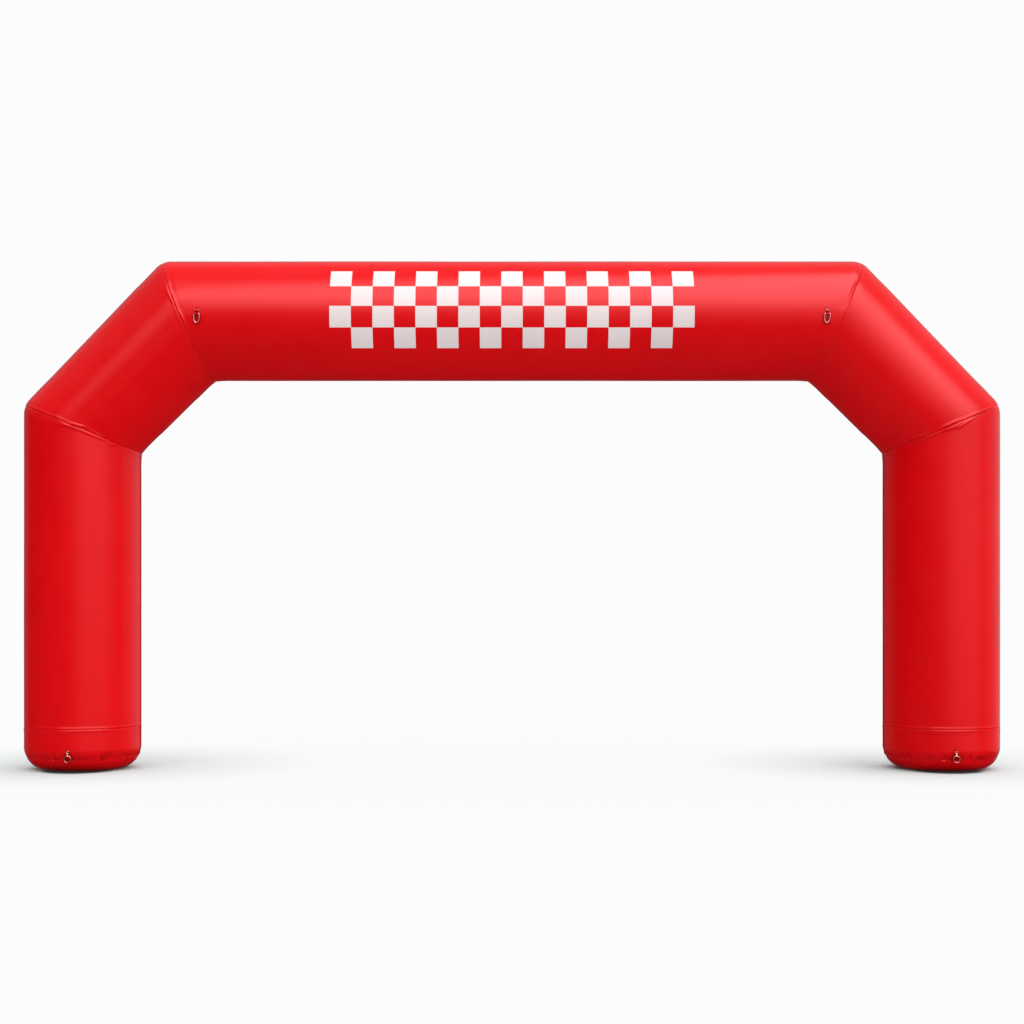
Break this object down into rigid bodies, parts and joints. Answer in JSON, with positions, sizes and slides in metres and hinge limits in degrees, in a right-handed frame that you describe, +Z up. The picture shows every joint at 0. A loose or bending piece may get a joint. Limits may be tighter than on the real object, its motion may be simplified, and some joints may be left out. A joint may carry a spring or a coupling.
{
  "type": "inflatable arch",
  "caption": "Free-standing inflatable arch: a level air tube on sloping shoulder tubes and upright legs with gathered round feet, and metal rings hung from sewn tabs.",
  "frame": {"origin": "on the ground midway between the legs, in the plane of the tubes' axes", "axes": "+X along the span, towards the leg on the right as seen from the front; -Y towards the front, the side with the rings; +Z up"},
  "size_m": [6.072, 0.7482, 3.158],
  "materials": {
    "coated_cloth": "satin red coating on woven cloth",
    "webbing": "woven red webbing",
    "steel": "plated steel",
    "brass": "pale brass"
  },
  "bodies": {
    "root": {"beam": "coated_cloth", "diagonal_left": "coated_cloth", "diagonal_right": "coated_cloth", "leg_left": "coated_cloth", "leg_right": "coated_cloth", "foot_left": "coated_cloth", "foot_right": "coated_cloth", "base_left": "coated_cloth", "base_right": "coated_cloth", "upper_tab_left": "webbing", "upper_tab_right": "webbing", "front_tab_left": "webbing", "front_tab_right": "webbing", "inner_tab_left": "webbing", "inner_tab_right": "webbing", "upper_ring_left": "steel", "upper_ring_right": "steel", "front_ring_left": "steel", "front_ring_right": "steel", "inner_ring_left": "steel", "inner_ring_right": "steel", "front_link_left": "steel", "inner_link_left": "steel", "front_link_right": "brass", "inner_link_right": "brass"}
  },
  "joints": []
}
